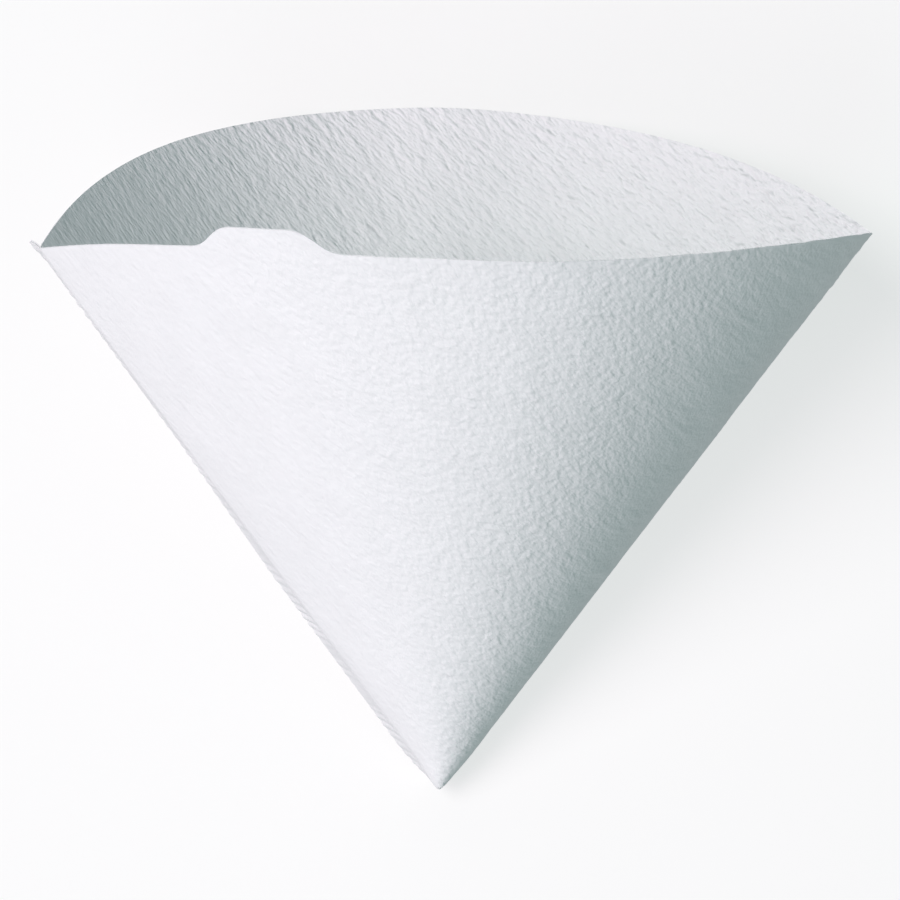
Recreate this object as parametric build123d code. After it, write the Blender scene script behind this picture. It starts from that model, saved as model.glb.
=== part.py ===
from build123d import *
from math import acos, degrees, radians, sqrt
import os

# A paper coffee filter for a 60 degree cone dripper.  One sheet is folded in two
# and crimped along one edge, and is opened here into a cone.  It lies on its far
# wall, as it comes to rest on a table, with the wall that has the tab on top.
# Millimetres and degrees.  +Y runs from the tip towards the mouth, +X from the
# crimped seam towards the fold, and Z is 0 on the table.

# The sheet
side_length = 125.0     # tip to rim, along the paper
paper = 0.25            # thickness of the creped paper
wall_sector = 90.0      # angle of each wall at the tip, in the flat sheet
tip_cut = 0.3           # the walls start this far from the tip
tip_radius = 0.5        # the pinched paper that closes the tip

# How it is opened
mouth_angle = 71.65     # angle at the tip between the fold and the seam
strips_per_wall = 9     # each wall bends in this many strips, tangent to each other
near_bend = (0.25, 1.0, 0.4)   # share of the bending at the seam, middle and fold
far_bend = (0.075, 1.0, 0.0)     # the same from the fold to the seam

# The flat strip of the far wall, whose rim stands on the table
rest_sector = 6.0       # its angle at the tip
rest_from_fold = 41.0   # angle at the tip from the fold to its middle

# The crimped seam: two layers that stand off behind the far wall
seam_width = 7.0
seam_lean = -2.0        # where it starts, outwards from straight back
seam_curl = 10.0        # how far it curls outwards over its width

# The tab on the near wall's rim, for pulling the filter open
tab_from_seam = 23.5    # angle at the tip from the seam to the tab's middle
tab_height = 4.4
tab_foot_width = 23.8   # between its flanks at the rim
tab_top_width = 12.8
tab_radius = 5.0        # of its shoulders and of its feet
tab_window = 34.0       # width of near wall that is cut to the tab's outline
tab_sink = 1.5          # how far the outline reaches below the rim
tab_step = 0.05         # its rim is this far inside the wall's own rim
tab_depth = 15.0        # its reach to each side of the paper
rim_clear = 1.0         # what the tool that trims the rim takes all round the paper

tip = Vector(0, 0, 0)


def bend_at(share, shares):
    """Bending at a share of the wall, from its values at start, middle and end."""
    start, middle, end = shares
    if share < 0.5:
        return start + (middle - start) * 2 * share
    return middle + (end - middle) * (2 * share - 1)


def even_strips(first, last, count, shares):
    """Equal strips between two angles of a wall, each as (angle, bending)."""
    sector = (last - first) / count
    middles = [first + (number + 0.5) * sector for number in range(count)]
    return [(sector, bend_at(middle / wall_sector, shares)) for middle in middles]


def turning(frame, sector, bend):
    """The line that a bent strip of paper turns about, and by how much.

    A frame is three directions at one straight line of the cone: along it, across
    it and out of it.  The line turned about passes through the tip.  It is square
    to flat paper, and leans towards the paper as the bending grows.
    """
    along, across, outward = frame
    return Axis(tip, along * bend - outward), sector * sqrt(1 + bend**2)


def next_frame(frame, sector, bend):
    axis, angle = turning(frame, sector, bend)
    return tuple(direction.rotate(axis, angle) for direction in frame)


def frame_at(frame, strips, wanted):
    """The frame at an angle from the start of a wall."""
    for sector, bend in strips:
        step = min(sector, wanted)
        frame = next_frame(frame, step, bend)
        wanted -= step
    return frame


def open_wall(strips):
    """Scale a wall's bending until its edges are mouth_angle apart.

    Returns the frame at its first edge and its strips.  The tip is down, the edges
    lean to +X and -X, and the wall bows to +Y between them.
    """
    flat = (Vector(1, 0, 0), Vector(0, 1, 0), Vector(0, 0, -1))
    low, high = 0.0, 6.0
    while high - low > 1e-10:
        scale = (low + high) / 2
        scaled = [(sector, bend * scale) for sector, bend in strips]
        edge = frame_at(flat, scaled, wall_sector)[0]
        if degrees(acos(edge.dot(flat[0]))) > mouth_angle:
            low = scale
        else:
            high = scale
    up = (flat[0] + edge).normalized()
    side = (flat[0] - edge).normalized()
    bow = up.cross(side)
    start = tuple(Vector(d.dot(side), d.dot(bow), d.dot(up)) for d in flat)
    return start, scaled


def paper_edge(frame, inner, outer, clear=0.0):
    """The paper's section along one straight line of the cone."""
    along, across, outward = frame
    corners = [along * inner - outward * clear, along * outer - outward * clear]
    thickness = outward * (paper + 2 * clear)
    corners += [corner + thickness for corner in reversed(corners)]
    return Face(Wire.make_polygon(corners, close=True))


def wall_solids(frame, strips, inner, outer, clear=0.0):
    """Part of a wall between two distances from the tip, one solid for each strip."""
    solids = []
    for sector, bend in strips:
        axis, angle = turning(frame, sector, bend)
        solids.append(revolve(paper_edge(frame, inner, outer, clear), axis, angle))
        frame = next_frame(frame, sector, bend)
    return solids


def crease(frame, outward_after):
    """Paper bent sharply round an edge, until it faces another way."""
    along, across, outward = frame
    angle = degrees(acos(outward.dot(outward_after)))
    if outward.cross(outward_after).dot(along) < 0:
        angle = -angle
    return revolve(paper_edge(frame, tip_cut, side_length), Axis(tip, along), angle)


# The two walls: the far one from fold to seam, the near one from seam to fold
rest_start = rest_from_fold - rest_sector / 2
rest_end = rest_from_fold + rest_sector / 2
strips_to_rest = round(strips_per_wall * rest_start / wall_sector)
strips_past_rest = strips_per_wall - strips_to_rest
far_strips = even_strips(0, rest_start, strips_to_rest, far_bend)
far_strips += [(rest_sector, 0.0)]
far_strips += even_strips(rest_end, wall_sector, strips_past_rest, far_bend)
near_strips = even_strips(0, wall_sector, strips_per_wall, near_bend)

far_start, far_strips = open_wall(far_strips)
near_start, near_strips = open_wall(near_strips)
near_start = tuple(direction.rotate(Axis.Z, 180) for direction in near_start)
near_end = frame_at(near_start, near_strips, wall_sector)
far_wall = wall_solids(far_start, far_strips, tip_cut, side_length)
fold = crease(near_end, far_start[2])
closed_tip = Sphere(tip_radius)

# The seam: both layers bend back at the edge of the cone and curl outwards
seam_line = near_start[0]
seam_back = Vector(0, 1, 0).rotate(Axis(tip, seam_line), seam_lean)
seam_plane = Plane(origin=tip, x_dir=seam_back, z_dir=seam_line)
seam_radius = seam_width / radians(seam_curl)
seam_arcs = [
    CenterArc((0, seam_radius), radius, -90, seam_curl)
    for radius in (seam_radius - paper, seam_radius + paper)
]
seam_ends = [Line(seam_arcs[0] @ end, seam_arcs[1] @ end) for end in (0, 1)]
seam_section = make_face(seam_arcs + seam_ends)
seam = extrude(seam_plane * seam_section, side_length)
seam_fold = crease(near_start, seam_plane.y_dir)

# The tab: an outline on the wall's tangent plane, with rounded shoulders and feet
tab_frame = frame_at(near_start, near_strips, tab_from_seam)
tab_plane = Plane(origin=tip, x_dir=tab_frame[0], z_dir=tab_frame[2])
tab_end = side_length + tab_height
tab_root = side_length - tab_sink
tab_slope = (tab_foot_width - tab_top_width) / tab_height
tab_root_width = tab_foot_width + tab_slope * tab_sink
tab_middle = Pos(side_length, 0) * Rectangle(side_length, tab_window)
tab_flanks = Polygon(
    (tab_root, -tab_root_width / 2),
    (tab_end, -tab_top_width / 2),
    (tab_end, tab_top_width / 2),
    (tab_root, tab_root_width / 2),
    align=None,
)
tab_outline = (Circle(side_length - tab_step) & tab_middle) + tab_flanks
tab_corners = [
    corner for corner in tab_outline.vertices()
    if corner.X > tab_root and abs(corner.Y) < tab_root_width / 2
]
tab_outline = fillet(tab_corners, tab_radius)
tab_tool = extrude(tab_plane * tab_outline, tab_depth, both=True)

# The near wall: the strips that the tab stands on are longer, and their rim is
# trimmed back on each side of the tab
near_sector = wall_sector / strips_per_wall
tab_reach = degrees(tab_window / 2 / side_length)
first = int((tab_from_seam - tab_reach) / near_sector)
last = int((tab_from_seam + tab_reach) / near_sector) + 1
tab_start = frame_at(near_start, near_strips, first * near_sector)
after_start = frame_at(near_start, near_strips, last * near_sector)
tab_strips = near_strips[first:last]
near_wall = wall_solids(near_start, near_strips[:first], tip_cut, side_length)
near_wall += wall_solids(after_start, near_strips[last:], tip_cut, side_length)
rim_tool = Part() + wall_solids(tab_start, tab_strips, side_length, tab_end + rim_clear, rim_clear)
tab_wall = Part() + wall_solids(tab_start, tab_strips, tip_cut, tab_end)
tab_wall -= rim_tool - tab_tool

filter_paper = Part() + far_wall + near_wall
filter_paper += [tab_wall, fold, seam, seam_fold, closed_tip]

# Lay it on the table: it stands on the seam's corner by the tip and on the rim of
# the far wall's flat strip, with the mouth's width along X
rest_along, rest_across, rest_outward = frame_at(far_start, far_strips, rest_from_fold)
rest_rim = rest_along * side_length + rest_outward * paper
seam_corner = seam_plane.from_local_coords(seam_arcs[1] @ 1)
table_up = rest_across.cross(rest_rim - seam_corner).normalized()
if table_up.dot(rest_outward) > 0:
    table_up = -table_up
mouth_width = far_start[0] - near_start[0]
table_x = mouth_width - table_up * mouth_width.dot(table_up)
table = Plane(origin=tip, x_dir=table_x, z_dir=table_up)
filter_paper = table.to_local_coords(filter_paper)
box = filter_paper.bounding_box()
filter_paper = Pos(-box.center().X, -box.center().Y, -box.min.Z) * filter_paper
filter_paper.label = "filter_paper"

os.makedirs("parts", exist_ok=True)
export_step(filter_paper, "parts/filter_paper.step")

size = box.size
print(f"box {size.X:.2f} x {size.Y:.2f} x {size.Z:.2f} mm, solids {len(filter_paper.solids())}")
print(f"one layer of paper {filter_paper.volume / paper / 100:.1f} cm2")
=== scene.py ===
# %% [markdown]
# # A paper coffee filter
#
# The filter is one piece of white creped paper for a 60 degree cone dripper.  A half
# disc is folded in two, its two straight edges are crimped together, and the cone is
# opened by hand.  There is only this one sheet, so the whole lesson is about one
# surface: how it is cut, how it is folded, and how creped paper looks.
#
# The sheet could be modelled as a cone primitive with a fold pulled out of it.  Paper
# doesn't stretch, though, and such a cone soon looks like rubber.  So the sheet is
# drawn flat here, as it is cut, and every point of it is then folded into place.

# %% Load the fixed frame
from math import acos, cos, pi, radians, sin, sqrt

import bpy
import numpy as np
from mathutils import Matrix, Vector, noise
from mathutils.geometry import delaunay_2d_cdt


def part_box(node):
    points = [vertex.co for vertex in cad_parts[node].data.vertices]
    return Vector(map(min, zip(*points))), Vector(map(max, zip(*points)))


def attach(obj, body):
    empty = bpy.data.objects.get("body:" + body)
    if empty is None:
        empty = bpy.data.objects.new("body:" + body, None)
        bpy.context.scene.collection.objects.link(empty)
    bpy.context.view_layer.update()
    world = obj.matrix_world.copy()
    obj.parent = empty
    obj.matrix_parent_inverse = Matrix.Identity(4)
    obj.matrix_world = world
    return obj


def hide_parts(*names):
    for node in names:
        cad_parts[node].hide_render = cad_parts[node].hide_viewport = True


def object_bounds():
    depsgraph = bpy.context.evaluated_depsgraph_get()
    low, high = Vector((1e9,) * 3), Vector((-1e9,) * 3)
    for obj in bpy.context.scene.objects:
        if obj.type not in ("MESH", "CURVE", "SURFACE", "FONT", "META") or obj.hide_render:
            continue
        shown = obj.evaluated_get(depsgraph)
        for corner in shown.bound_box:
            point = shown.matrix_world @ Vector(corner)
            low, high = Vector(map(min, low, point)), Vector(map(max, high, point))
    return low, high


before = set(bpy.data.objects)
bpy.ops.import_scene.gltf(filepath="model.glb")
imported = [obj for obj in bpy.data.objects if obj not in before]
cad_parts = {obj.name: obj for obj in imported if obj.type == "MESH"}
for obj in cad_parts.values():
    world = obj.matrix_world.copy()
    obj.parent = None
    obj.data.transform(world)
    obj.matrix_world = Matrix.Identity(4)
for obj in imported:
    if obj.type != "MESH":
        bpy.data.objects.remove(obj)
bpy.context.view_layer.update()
bpy.ops.object.select_all(action="DESELECT")
MM = 0.001

# %% [markdown]
# ## The camera
#
# The filter lies on its far wall, and the camera looks down on it from almost straight
# above, so the open mouth and the near wall are both in view.  A long lens keeps what
# is nearer from looking much larger than what is farther off.  The camera could track
# the object with a constraint, but a fixed place and turn are easier to read.

# %% Place the camera
camera_data = bpy.data.cameras.new("camera")
camera_data.lens = 163.3
camera_data.sensor_width = 36.0
camera_data.clip_start = 0.01
camera = bpy.data.objects.new("camera", camera_data)
camera.location = Vector((-68.2, -73.25, 735.58)) * MM
camera.rotation_euler = [radians(turn) for turn in (5.895, -5.022, -3.072)]
bpy.context.collection.objects.link(camera)
bpy.context.scene.camera = camera
print("camera is", round(camera.location.z, 3), "m above the floor")

# %% [markdown]
# ## The sheet, cut flat
#
# The sizes are those of the CAD model, in millimetres.  The flat sheet is a half disc
# with its straight edge along X.  The tip of the cone is at the origin and the fold
# runs up the Y axis: the near wall is on the left of it and the far wall on the right.
# Below the straight crease lie the two margins that are crimped into the seam.

# %% Sizes of the sheet and of its folds
side_length = 125.0
paper = 0.25
wall_sector = radians(90.0)
mouth_angle = radians(71.65)
strips_per_wall = 9
near_bend = (0.25, 1.0, 0.4)
far_bend = (0.075, 1.0, 0.0)
rest_sector = radians(6.0)
rest_from_fold = radians(41.0)
seam_width = 7.0
seam_lean = radians(-2.0)
seam_curl = radians(10.0)
tab_from_seam = radians(23.5)
tab_height = 4.4
tab_foot_width = 23.8
tab_top_width = 12.8
print("the half disc is", 2 * side_length, "mm wide and the tab", tab_foot_width)

# %% [markdown]
# ## The cut edge
#
# The tab is there to pull the two walls apart.  Its corners are rounded, and could get
# arcs as in the CAD model.  A mean over a short stretch of rim rounds all four of them
# at once.  The crimped margins are trimmed back a little where they meet the rim.

# %% The rim with its tab, and the ends of the margins
tab_softness = 1.8      # how far its corners are rounded along the rim
tab_squareness = 1.0    # how much further its top reaches towards the fold
tab_steps = 15          # places in the stretch that the mean is taken over
seam_notch = 1.4        # how far the crimp is trimmed back where it meets the rim


def tab_rise(arc):
    """How far the rim stands out at a place along it, measured from the tab."""
    flank = (tab_foot_width - tab_top_width) / 2
    rise = 0.0
    for share in np.linspace(-1, 1, tab_steps):
        along = arc + share * tab_softness
        slope = tab_height / np.where(along > 0, flank - tab_squareness, flank)
        inside = tab_foot_width / 2 - np.abs(along)
        rise = rise + np.clip(slope * inside, 0, tab_height) / tab_steps
    return rise


def rim_radius(angle):
    """Distance from the tip to the cut rim, by the angle from the near crease."""
    return side_length + tab_rise((angle - tab_from_seam) * side_length)


def margin_end(y):
    """How far along the crease the margin reaches, at a place across it."""
    return side_length - seam_notch * (1 + y / seam_width)


print("tab stands out", round(float(tab_rise(np.zeros(1))[0]), 2), "mm")

# %% [markdown]
# ## Points on the flat sheet
#
# Crepe wrinkles run one way, across the fold, and are narrow the other way.  A square
# grid would waste points along them, so the points stand close together across the
# wrinkles and far apart along them.  Each crease and the crimped margin get rows of
# their own.

# %% Spread points inside the sheet
step_across = 0.38      # between rows of points, across the wrinkles
step_along = 1.7        # between points of one row
stray = np.array([0.2, 0.12]) * (step_along, step_across)   # how far points may stray
fold_rows = (0.0, 0.12, 0.24, 0.38, 0.55)
fold_step = 0.6         # between points of one row along the fold
fold_start = 1.35       # where these rows start, past those of the crease
fold_end = side_length - 0.4
fold_clear = 0.5        # left free beside the rows of the fold
crease_rows = (0.0, 0.25, 0.5, 0.75, 1.0)
crease_step = 0.8       # between points of one row along the seam's crease
crease_clear = 1.3      # where the rows of the walls and of the margins start
margin_step = 0.42
margin_row_step = 0.8
row_start = -side_length + 0.3      # of the rows along the crease and in the margins
row_end = side_length - 0.2
lowest_row = -seam_width + 0.6
rim_clear = 0.3         # left free along the rim
end_clear = 0.25        # and along the ends of the margins
reach = side_length + tab_height
rng = np.random.RandomState(4)


def grid(x_step, y_step, low, high):
    """Staggered rows of points between two corners."""
    rows = np.arange(low[1], high[1], y_step)
    columns = np.arange(low[0], high[0], x_step)
    x, y = np.meshgrid(columns, rows)
    x[1::2] += x_step / 2
    return np.stack([x.ravel(), y.ravel()], 1)


walls = grid(step_along, step_across, (-reach, crease_clear), (reach, reach))
walls = walls + rng.uniform(-1, 1, walls.shape) * stray
walls = walls[np.abs(walls[:, 0]) > fold_rows[-1] + fold_clear]
fold_points = np.array([
    (x * side, y)
    for row, x in enumerate(fold_rows)
    for y in np.arange(fold_start + fold_step / 2 * (row % 2), fold_end, fold_step)
    for side in ((-1, 1) if x else (1,))
])
crease_points = np.array([
    (x, y * side)
    for row, y in enumerate(crease_rows)
    for x in np.arange(row_start + crease_step / 2 * (row % 2), row_end, crease_step)
    for side in ((-1, 1) if y else (1,))
])
margin = grid(
    margin_step, margin_row_step, (row_start, lowest_row), (row_end, -crease_clear)
)

inner = np.concatenate([walls, fold_points, crease_points, margin])
angle = np.arctan2(inner[:, 1], -inner[:, 0])
edge = np.where(inner[:, 1] > 0, rim_radius(angle) - rim_clear, reach)
inner = inner[np.hypot(*inner.T) < edge]
in_margin = np.abs(inner[:, 0]) < margin_end(inner[:, 1]) - end_clear
inner = inner[in_margin | (inner[:, 1] > 0)]
print(len(inner), "points inside the sheet")

# %% Draw the cut edge
rim_step = 0.8
end_step = 0.7

rim_angles = np.arange(0, pi, rim_step / side_length)
rim_angles = np.append(rim_angles, pi)
radii = rim_radius(rim_angles)
rim = np.stack([-np.cos(rim_angles) * radii, np.sin(rim_angles) * radii], 1)
bottom = np.arange(side_length, -side_length, -margin_step)
lower_edge = np.stack([bottom, np.full(len(bottom), -seam_width)], 1)
end_rows = np.arange(-end_step, -seam_width + end_clear, -end_step)
end_right = np.stack([margin_end(end_rows), end_rows], 1)
end_left = end_right[::-1] * (-1, 1)
outline = np.concatenate([rim, end_right, lower_edge, end_left])
print(len(outline), "points on the cut edge")

# %% [markdown]
# ## Triangles
#
# Blender's own Delaunay routine joins points into triangles that are as even as they
# can be.  These points are meant to be uneven, so the sheet is squeezed along the
# wrinkles first and let out again afterwards.

# %% Join the points
even_triangle = 1.15    # its width over its height
squeeze = np.array([step_across / step_along * even_triangle, 1.0])
inside_the_outline = 1
same_point = 1e-6

flat = np.concatenate([outline, inner])
loop = [(i, (i + 1) % len(outline)) for i in range(len(outline))]
points, _, triangles, *_ = delaunay_2d_cdt(
    [Vector(p) for p in flat * squeeze], loop, [], inside_the_outline, same_point
)
flat = np.array([tuple(p) for p in points]) / squeeze
triangles = np.array(triangles)
print(len(flat), "points,", len(triangles), "triangles")

# %% [markdown]
# ## Folding the sheet
#
# Opened paper bends only one way at a time: from every point of the rim a straight line
# runs down to the tip.  So each wall is a chain of narrow strips, each a piece of a
# round cone that starts in the direction in which the last one ended.  The mouth's
# width says how strongly they all bend.  This is the CAD model's own construction,
# written again for whole arrays of points.

# %% Turn directions and frames
def unit(vectors):
    """Vectors made one long."""
    return vectors / np.linalg.norm(vectors, axis=-1, keepdims=True)


def turned(vectors, axes, angles):
    """Vectors turned about unit axes."""
    angles = np.asarray(angles)[..., None]
    along = (vectors * axes).sum(-1, keepdims=True) * axes
    across = np.cross(axes, vectors)
    return along + (vectors - along) * np.cos(angles) + across * np.sin(angles)


def turning(here, sector, bend):
    """Axis and angle by which a strip turns a frame of along, across and outward."""
    return unit(here[0] * bend - here[2]), sector * sqrt(1 + bend**2)


def next_frame(here, sector, bend):
    """The frame at the end of a strip."""
    axis, angle = turning(here, sector, bend)
    return turned(here, axis, [angle] * 3)


# %% Open the walls
def bend_at(share, shares):
    """Bending at a share of the wall, from its values at start, middle and end."""
    return float(np.interp(share, (0, 0.5, 1), shares))


def even_strips(first, last, count, shares):
    """Equal strips between two angles of a wall, each as (angle, bending)."""
    sector = (last - first) / count
    middles = [first + (number + 0.5) * sector for number in range(count)]
    return [(sector, bend_at(middle / wall_sector, shares)) for middle in middles]


def open_wall(strips):
    """Scale a wall's bending until its edges are mouth_angle apart."""
    start = np.array([(1.0, 0, 0), (0, 1.0, 0), (0, 0, -1.0)])
    low, high = 0.0, 6.0
    while high - low > 1e-10:
        scale = (low + high) / 2
        scaled = [(sector, bend * scale) for sector, bend in strips]
        end = start
        for sector, bend in scaled:
            end = next_frame(end, sector, bend)
        if acos(end[0] @ start[0]) > mouth_angle:
            low = scale
        else:
            high = scale
    up, side = unit(start[0] + end[0]), unit(start[0] - end[0])
    axes = np.array([side, np.cross(up, side), up])
    return start @ axes.T, scaled


rest_start = rest_from_fold - rest_sector / 2
rest_end = rest_from_fold + rest_sector / 2
to_rest = round(strips_per_wall * rest_start / wall_sector)
past_rest = strips_per_wall - to_rest
far_strips = even_strips(0, rest_start, to_rest, far_bend) + [(rest_sector, 0.0)]
far_strips += even_strips(rest_end, wall_sector, past_rest, far_bend)
near_strips = even_strips(0, wall_sector, strips_per_wall, near_bend)
near_start, near_strips = open_wall(near_strips)
far_start, far_strips = open_wall(far_strips)
near_start = near_start * (-1, -1, 1)
print("mouth open by", round(np.degrees(mouth_angle), 1), "degrees")

# %% Straight lines of the cone
starts, frames, axes, rates = [], [], [], []
for first, here, strips in (
    (0, near_start, near_strips),
    (wall_sector, far_start, far_strips),
):
    for sector, bend in strips:
        axis, angle = turning(here, sector, bend)
        starts.append(first)
        frames.append(here[0])
        axes.append(axis)
        rates.append(angle / sector)
        here, first = turned(here, axis, [angle] * 3), first + sector
starts, frames, axes, rates = (np.array(rows) for rows in (starts, frames, axes, rates))


def cone_line(angle):
    """Direction of the straight line at an angle from the near crease."""
    strip = np.searchsorted(starts, angle, side="right") - 1
    strip = np.clip(strip, 0, len(starts) - 1)
    return turned(frames[strip], axes[strip], (angle - starts[strip]) * rates[strip])


seam_line = near_start[0]
seam_back = turned(np.array([0, 1.0, 0]), seam_line, seam_lean)
seam_out = np.cross(seam_line, seam_back)
print(len(starts), "strips from seam to seam")

# %% [markdown]
# ## Creases and the crimped seam
#
# The seam is pressed between toothed wheels, and both layers take the same ribs, some
# deeper than others.  The strip doesn't lie quite in line: it stands out a little on
# its lower half, and its end at the rim is bent out.
#
# Paper never folds to a true corner.  Rounding each crease with a bevel would need a
# different bevel on each edge and would fail at the tip, where all of them meet.  Here
# a point's place is the mean of the sharp fold over a small patch of sheet round it.
# That leaves plain paper as it is and rounds whatever lies close to a crease.

# %% Fold with sharp corners
layer_gap = 0.06        # left between the two crimped layers
rib_pitch = 2.2
rib_height = 0.11
rib_start = (1.0, 2.2)  # from the crease: where the ribs start, and are at full height
rib_tip = (1.0, 4.0)    # the same from the tip
gap_reach = 1.0         # from the crease: where the two layers are fully apart
flare_start = 119.5     # distance from the tip at which the end starts to bend out
rim_flare = 0.5         # how far it is bent out at the rim
seam_splay = {          # how far the crimp stands out, by the distance from the tip
    0.0: 0.0, 3.0: 0.7, 8.0: 1.15, 50.0: 1.1, 80.0: 0.3, 108.0: 0.15, 120.0: 0.05
}


def smooth(value, low, high):
    """A soft step from 0 to 1 between two values."""
    share = np.clip((value - low) / (high - low), 0, 1)
    return share * share * (3 - 2 * share)


def rib_wave(from_tip):
    """The crimp's ribs along the seam, uneven in height and in pitch."""
    unevenness = 0.6 + 0.4 * np.sin(from_tip / 5.3) + 0.3 * np.sin(from_tip / 1.9)
    drift = np.sin(from_tip / 3.1)
    return rib_height * unevenness * np.sin(2 * pi * from_tip / rib_pitch + drift)


def sharp_fold(x, y):
    """Where points of the flat sheet lie if every crease is a sharp corner."""
    angle = np.clip(np.arctan2(np.maximum(y, 0), -x), 0, pi)
    wall = np.hypot(x, y)[:, None] * cone_line(angle)
    depth = np.maximum(-y, 0)
    radius = seam_width / seam_curl
    from_tip = np.abs(x)
    ribs = rib_wave(from_tip) * smooth(depth, *rib_start) * smooth(from_tip, *rib_tip)
    side = -np.sign(x) * layer_gap / 2 * smooth(depth, 0, gap_reach)
    splay = np.interp(from_tip, list(seam_splay), list(seam_splay.values()))
    flare = rim_flare * smooth(from_tip, flare_start, side_length) * depth / seam_width
    lean = (splay + flare) * depth / seam_width
    out = radius * (1 - np.cos(depth / radius)) + side + ribs + lean
    back = radius * np.sin(depth / radius)
    flap = from_tip[:, None] * seam_line + back[:, None] * seam_back
    flap = flap + out[:, None] * seam_out
    return np.where((y >= 0)[:, None], wall, flap)


# %% Round the creases
fold_round = 0.3        # half width of the patch across the fold
crease_round = 0.95     # half width of the patch across the seam's crease
patch_steps = 8


def fold(x, y):
    """Where points of the flat sheet lie, with rounded creases."""
    place = sharp_fold(x, y)
    close = (np.abs(x) < fold_round) | (np.abs(y) < crease_round)
    shares = (np.arange(patch_steps) + 0.5) / (patch_steps / 2) - 1
    total = 0.0
    for across_fold in shares * fold_round:
        for across_crease in shares * crease_round:
            total = total + sharp_fold(x[close] + across_fold, y[close] + across_crease)
    place[close] = total / patch_steps**2
    return place


place = fold(*flat.T)
print("folded box", np.round(place.min(0), 1), np.round(place.max(0), 1))

# %% [markdown]
# ## Laying the cone down
#
# The CAD model lies on the lower corner of its seam and on the rim of one flat strip of
# the far wall.  The same two points give the same table here.

# %% Find the table
here = far_start
wanted = rest_from_fold
for sector, bend in far_strips:
    step = min(sector, wanted)
    here = next_frame(here, step, bend)
    wanted -= step
curl_radius = seam_width / seam_curl + paper
seam_corner = seam_back * curl_radius * sin(seam_curl)
seam_corner = seam_corner + seam_out * (
    curl_radius - paper - curl_radius * cos(seam_curl)
)
rest_rim = here[0] * side_length + here[2] * paper
table_up = unit(np.cross(here[1], rest_rim - seam_corner))
table_up = -table_up if table_up @ here[2] > 0 else table_up
mouth = far_start[0] - near_start[0]
table_x = unit(mouth - table_up * (mouth @ table_up))
table = np.array([table_x, np.cross(table_up, table_x), table_up])
print("table faces", np.round(table_up, 3))

# %% Find which way the paper faces, and where the tip comes to lie
triangle_normals = np.cross(
    place[triangles[:, 1]] - place[triangles[:, 0]],
    place[triangles[:, 2]] - place[triangles[:, 0]],
)
outward = np.zeros_like(place)
for corner in range(3):
    np.add.at(outward, triangles[:, corner], triangle_normals)
outward = unit(outward)

both_faces = np.concatenate([place, place + outward * paper]) @ table.T
low, high = both_faces.min(0), both_faces.max(0)
node_low, node_high = (np.array(c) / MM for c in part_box("filter_paper"))
shift = node_high - high
shift[2] = node_low[2] - low[2]
print("sizes", np.round(high - low, 2), "CAD", np.round(node_high - node_low, 2))
print("tip at", np.round(shift, 2))

# %% [markdown]
# ## Crepe
#
# Creped paper is scraped off a drying roll, which pushes it into thousands of small
# ridges square to the way it runs.  The larger ones are real height in the mesh, so
# they show at the rim and at the outline too.  The finest are left to the material.
# Crimping irons the paper beside the seam, so the crepe is lower there, and it pinches
# the very tip a little towards the seam.

# %% Raise the crepe
press_angles = (0.1, 0.85)  # from the seam: ironed paper ends, full crepe starts
pressed_share = 0.45        # of the crepe's height is left in ironed paper
crease_reach = (0.3, 3.0)   # from the seam's crease: no crepe, full crepe
fold_reach = (0.2, 2.0)     # from the fold: least crepe, full crepe
folded_share = 0.35         # of the crepe's height is left on the fold
tip_pinch = 0.55            # how far the tip is pinched towards the seam
tip_reach = 9.0             # how far from the tip the pinch is felt


def crepe_height(x, y):
    """Height of the paper above its smooth surface, in millimetres.

    Each noise is stretched to the length and the width of its wrinkles.  The last
    number only picks another part of the noise.
    """
    drift = noise.noise((x / 9, y / 5, 3.1)) * 0.8
    pleats = abs(noise.noise((x / 7.0, y / 1.3 + drift, 0.7)))
    ripples = noise.noise((x / 8.0, y / 1.7 - drift, 5.7))
    waves = noise.noise((x / 14, y / 4.5, 1.3))
    swells = noise.noise((x / 38, y / 24, 9.3))
    return 0.16 * pleats + 0.09 * ripples + 0.12 * waves + 0.35 * swells


height = np.array([crepe_height(x, y) for x, y in flat])
off_crease = smooth(flat[:, 1], *crease_reach)
off_fold = smooth(np.abs(flat[:, 0]), *fold_reach)
off_fold = folded_share + (1 - folded_share) * off_fold
from_seam = np.arctan2(flat[:, 1], np.abs(flat[:, 0]))
pressed = pressed_share + (1 - pressed_share) * smooth(from_seam, *press_angles)
height = height * off_crease * off_fold * pressed
place = (place + outward * height[:, None]) @ table.T + shift
place[:, 0] -= tip_pinch * (1 - smooth(np.hypot(*flat.T), 0, tip_reach))
print("crepe height", round(float(height.std()), 3), "mm rms")

# %% [markdown]
# ## From points to a mesh
#
# The sheet's own UV map is the flat drawing, in centimetres.  A pattern that reads it
# follows the paper round the fold, as crepe does, and can't stretch at the tip.

# %% Make the sheet's mesh
map_unit = 10.0     # millimetres in one unit of the map

mesh = bpy.data.meshes.new("creped_sheet")
mesh.from_pydata((place * MM).tolist(), [], triangles.tolist())
corner_points = np.empty(len(mesh.loops), dtype=np.int32)
mesh.loops.foreach_get("vertex_index", corner_points)
flat_map = mesh.uv_layers.new(name="flat")
flat_map.data.foreach_set("uv", (flat[corner_points] / map_unit).ravel())
sheet = bpy.data.objects.new("creped_sheet", mesh)
bpy.context.collection.objects.link(sheet)
bpy.context.view_layer.objects.active = sheet
sheet.select_set(True)
print("one face of the paper has", len(mesh.polygons), "triangles")

# %% [markdown]
# ## Creped white paper
#
# Bleached filter paper is matt and a little cold in the shade.  Its wrinkles are long
# on the inside of the cone and broken up into a fine grain on the outside, where the
# paper met the felt.  One recipe makes both faces, with other numbers for each.

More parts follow.
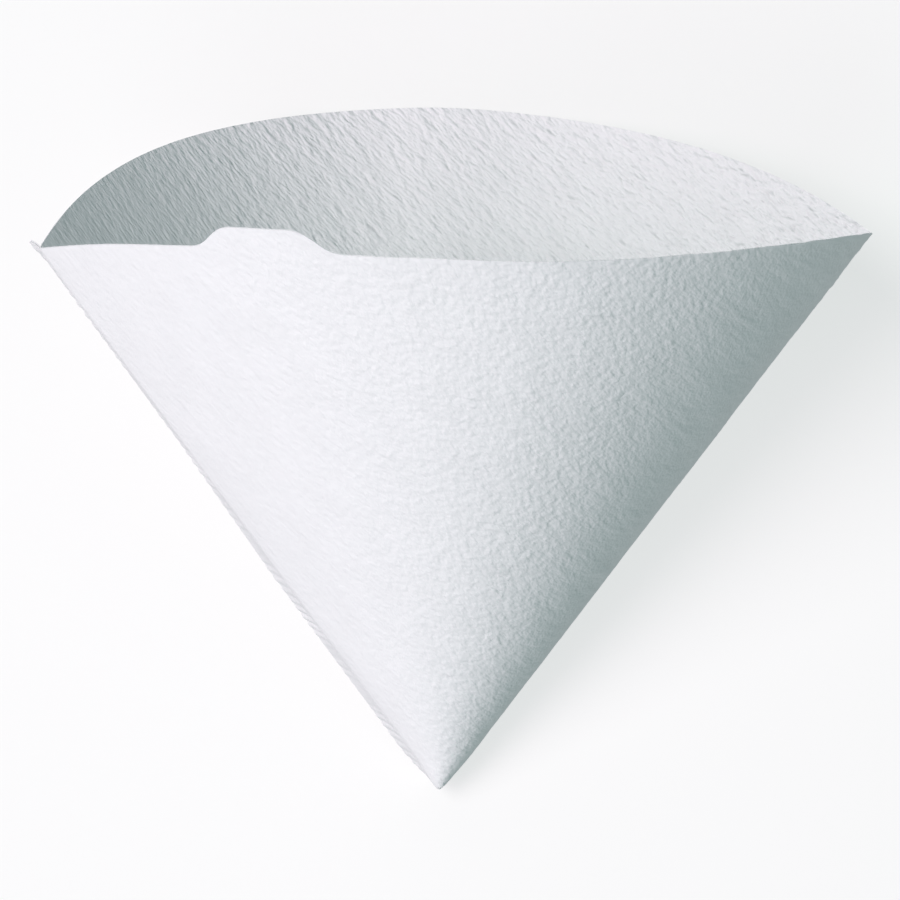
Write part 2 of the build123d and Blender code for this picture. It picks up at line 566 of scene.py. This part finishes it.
# %% A short way to write shaders
class Value:
    """A socket that can be used in sums."""

    def __init__(self, shader, socket):
        self.shader = shader
        self.socket = socket

    def math(self, operation, *values):
        return self.shader.node("ShaderNodeMath", {"operation": operation}, *values)

    def __add__(self, other):
        return self.math("ADD", self, other)

    def __sub__(self, other):
        return self.math("SUBTRACT", self, other)

    def __mul__(self, other):
        return self.math("MULTIPLY", self, other)

    def root(self):
        return self.math("SQRT", self)

    def __radd__(self, other):
        return self.math("ADD", other, self)

    def __rsub__(self, other):
        return self.math("SUBTRACT", other, self)

    def __rmul__(self, other):
        return self.math("MULTIPLY", other, self)


class Shader:
    """The nodes of a material or a world, added one call at a time."""

    def __init__(self, owner, surface="Principled BSDF"):
        owner.use_nodes = True
        self.owner = owner
        self.tree = owner.node_tree
        self.surface = self.tree.nodes[surface]

    def set(self, socket, value):
        if isinstance(value, Value):
            self.tree.links.new(value.socket, socket)
        else:
            socket.default_value = value

    def node(self, kind, settings, *values, output=0, **named):
        """Add a node, make its settings, fill its sockets, and return an output."""
        node = self.tree.nodes.new(kind)
        for setting, value in settings.items():
            setattr(node, setting, value)
        for index, value in enumerate(values):
            self.set(node.inputs[index], value)
        for name, value in named.items():
            self.set(node.inputs[name.replace("_", " ")], value)
        return Value(self, node.outputs[output])

    def finish(self, **sockets):
        """Fill the sockets of the surface, and return the material or world."""
        for name, value in sockets.items():
            self.set(self.surface.inputs[name.replace("_", " ")], value)
        return self.owner


# %% Two faces of one paper
paper_white = (0.86, 0.87, 0.885)
relief_depth = 0.22         # of the finest crepe, in millimetres
valley_softness = 0.018     # keeps the floor of a valley from being a sharp line
fold_angles = (0.9, 1.5)    # from the seam: where the paper of the fold starts


def creped_paper(name, ridge_size, grain_size, shares, by_fold):
    """One face of the paper: valleys, strokes and grain, sized in millimetres."""
    valley_share, stroke_share, grain_share = shares
    shader = Shader(bpy.data.materials.new(name))
    flat_place = shader.node("ShaderNodeUVMap", {"uv_map": "flat"})

    def noise_at(size, turn, **named):
        """Noise with spots of this size, turned a little on the paper."""
        scale = (map_unit / size[0], map_unit / size[1], 1.0)
        spot = shader.node(
            "ShaderNodeMapping", {}, flat_place, Rotation=(0, 0, turn), Scale=scale
        )
        settings = {"noise_dimensions": "2D", "noise_type": "FBM", "normalize": True}
        return shader.node(
            "ShaderNodeTexNoise", settings, Vector=spot, Scale=1.0, **named
        )

    def soft_step(value, ends, low, high):
        """A soft step between two values of an angle."""
        settings = {"interpolation_type": "SMOOTHSTEP"}
        return shader.node("ShaderNodeMapRange", settings, value, *ends, low, high)

    stroke_size = (ridge_size[0] * 0.5, ridge_size[1] * 0.55)
    pleats = noise_at(ridge_size, 0.06, Detail=1.0, Distortion=0.15) - 0.5
    strokes = noise_at(stroke_size, -0.1, Detail=1.0, Distortion=0.1)
    grain = noise_at(grain_size, 0.2, Detail=2.0, Roughness=0.5)
    blotches = noise_at((9.0, 6.0), 0.0, Detail=3.0)
    valleys = (pleats * pleats + valley_softness).root()

    across = shader.node("ShaderNodeSeparateXYZ", {}, flat_place, output=0)
    upward = shader.node("ShaderNodeSeparateXYZ", {}, flat_place, output=1)
    from_seam = upward.math("ARCTAN2", upward, across.math("ABSOLUTE", across))
    seam_press = soft_step(from_seam, press_angles, pressed_share, 1.0)
    fold_press = soft_step(from_seam, fold_angles, 1.0, by_fold)
    wrinkles = valley_share * valleys + stroke_share * strokes + grain_share * grain
    relief = seam_press * fold_press * wrinkles
    bump = shader.node(
        "ShaderNodeBump", {}, Strength=1.0, Distance=relief_depth * MM, Height=relief
    )

    shade = 0.95 + 0.05 * blotches + 0.03 * grain
    tint = shader.node(
        "ShaderNodeVectorMath", {"operation": "SCALE"}, paper_white, Scale=shade
    )
    roughness = 0.86 + 0.08 * grain
    print(name, "has", len(shader.tree.nodes), "nodes")
    return shader.finish(
        Base_Color=tint, Roughness=roughness, Normal=bump, Specular_IOR_Level=0.25
    )


inside = creped_paper(
    "inside_of_the_paper",
    ridge_size=(4.6, 1.8), grain_size=(0.9, 0.65), shares=(2.6, 1.8, 0.55), by_fold=1.5,
)
outside = creped_paper(
    "outside_of_the_paper",
    ridge_size=(3.4, 1.7), grain_size=(1.5, 0.8), shares=(0.8, 0.9, 0.53), by_fold=0.45,
)

# %% [markdown]
# ## Thickness
#
# Paper has two faces and a cut edge.  The sheet could be copied and the copies joined
# by hand, but Solidify does all of that.  It moves the mesh out by a quarter of a
# millimetre, where it is the outer face, leaves a new face in its place that looks into
# the cone, and closes the edge between them.  Its material offset gives the new face
# the second material, the inside's.

# %% Give the paper its thickness
mesh.materials.append(outside)
mesh.materials.append(inside)
thickness = sheet.modifiers.new("thickness", "SOLIDIFY")
thickness.thickness = paper * MM
thickness.offset = 1.0
thickness.use_even_offset = False
thickness.material_offset = 1
thickness.material_offset_rim = 0
bpy.ops.object.modifier_apply(modifier="thickness")
bpy.ops.object.shade_smooth_by_angle(angle=radians(55))
print("sheet has", len(sheet.data.polygons), "faces")

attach(sheet, "root")
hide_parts("filter_paper")

# %% [markdown]
# ## Floor and light
#
# The filter lies on a plain pale floor.  Three soft lamps stand on the left, the
# strongest of them towards the mouth, so the wall on the right turns into the shade.
# The two stronger lamps are a little rosy, and the third lamp and the sky are a little
# green.  That leaves white paper rosy in the light and cool in the shade.
#
# A floor and a sky that are pale enough to look plain would flood the shade with light.
# The Light Path node tells whether a ray comes from the camera.  So the camera sees a
# pale floor and sky, and the paper is lit by softer ones.

# %% What is seen and what gives light
def seen_or_lit(shader, seen, lit):
    """A colour that the camera sees one way and that lights the paper another way."""
    camera_ray = shader.node("ShaderNodeLightPath", {})
    difference = tuple(one - other for one, other in zip(seen, lit))
    return shader.node(
        "ShaderNodeVectorMath", {"operation": "MULTIPLY_ADD"},
        camera_ray, difference, lit,
    )


# %% Floor
floor_size = 8.0
floor_tone = (0.3, 0.3, 0.3)
floor_glow = (0.635, 0.635, 0.635)
floor_light = (0.551, 0.549, 0.557)
black = (0.0, 0.0, 0.0)

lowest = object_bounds()[0][2]
floor_place = (0, 0, min(0.0, lowest))
bpy.ops.mesh.primitive_plane_add(size=floor_size, location=floor_place)
floor = bpy.context.object
floor.name = "floor"
floor_shader = Shader(bpy.data.materials.new("pale_floor"))
floor.data.materials.append(floor_shader.finish(
    Base_Color=seen_or_lit(floor_shader, floor_tone, black),
    Roughness=0.9,
    Emission_Color=seen_or_lit(floor_shader, floor_glow, floor_light),
    Emission_Strength=1.0,
))
print("floor at", round(floor.location.z / MM, 2), "mm")

# %% Lamps
target = Vector((0, 0, 0.03))
lamp_size = 1.3


def soft_lamp(name, place, watts, colour):
    """A round lamp that looks at the filter."""
    data = bpy.data.lights.new(name, "AREA")
    data.shape = "DISK"
    data.size = lamp_size
    data.energy = watts
    data.color = colour
    lamp = bpy.data.objects.new(name, data)
    lamp.location = place
    lamp.rotation_euler = (target - lamp.location).to_track_quat("-Z", "Y").to_euler()
    lamp.visible_camera = False
    bpy.context.collection.objects.link(lamp)
    print(name, "is", round((target - lamp.location).length, 2), "m away")


soft_lamp("main_lamp", (-1.256, 0.336, 2.282), 44.2, (1.0, 0.936, 0.938))
soft_lamp("left_lamp", (-1.570, -0.572, 2.022), 23.4, (1.0, 0.718, 0.870))
soft_lamp("front_lamp", (-0.919, -1.592, 1.869), 12.2, (0.873, 1.0, 0.950))

# %% Sky
sky_seen = (0.95, 0.95, 0.95)
sky_light = (0.122, 0.211, 0.204)
sky = Shader(bpy.data.worlds.new("studio"), "Background")
sky_colour = seen_or_lit(sky, sky_seen, sky_light)
bpy.context.scene.world = sky.finish(Color=sky_colour, Strength=1.0)
bpy.context.scene.view_settings.view_transform = "Standard"
print("sky gives", sky_light, "and is seen as", sky_seen)
